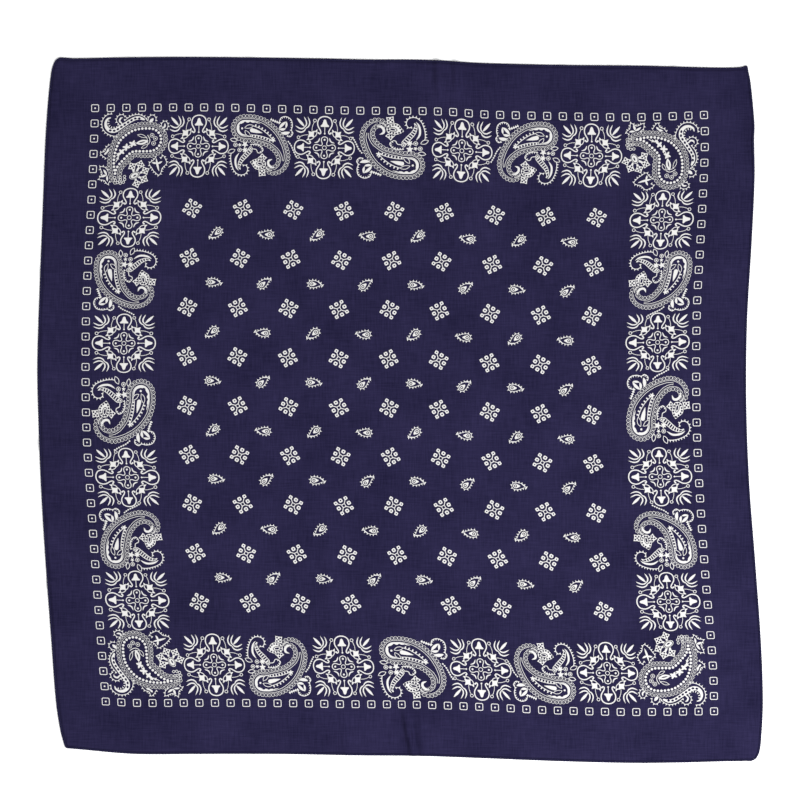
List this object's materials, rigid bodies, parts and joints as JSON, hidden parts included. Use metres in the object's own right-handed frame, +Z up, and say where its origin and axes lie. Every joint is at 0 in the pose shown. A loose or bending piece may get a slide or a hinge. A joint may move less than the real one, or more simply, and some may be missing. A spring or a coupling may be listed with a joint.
{
  "type": "bandana",
  "caption": "Square cotton bandana laid flat, with a thin panel, softly bowed edges, a few low creases and narrow rolled hems.",
  "frame": {"origin": "middle of the cloth's outline, on the surface the bandana lies on", "axes": "+X to the right and +Y to the top edge of the cloth as it is laid out, +Z up off the surface"},
  "size_m": [0.5802, 0.5649, 0.0036],
  "materials": {
    "printed_cotton": "plain weave cotton, matt, printed",
    "hem_cotton": "rolled and overcast cotton hem, matt"
  },
  "bodies": {
    "root": {"panel": "printed_cotton", "hem_top": "hem_cotton", "hem_right": "hem_cotton", "hem_bottom": "hem_cotton", "hem_left": "hem_cotton"}
  },
  "joints": []
}
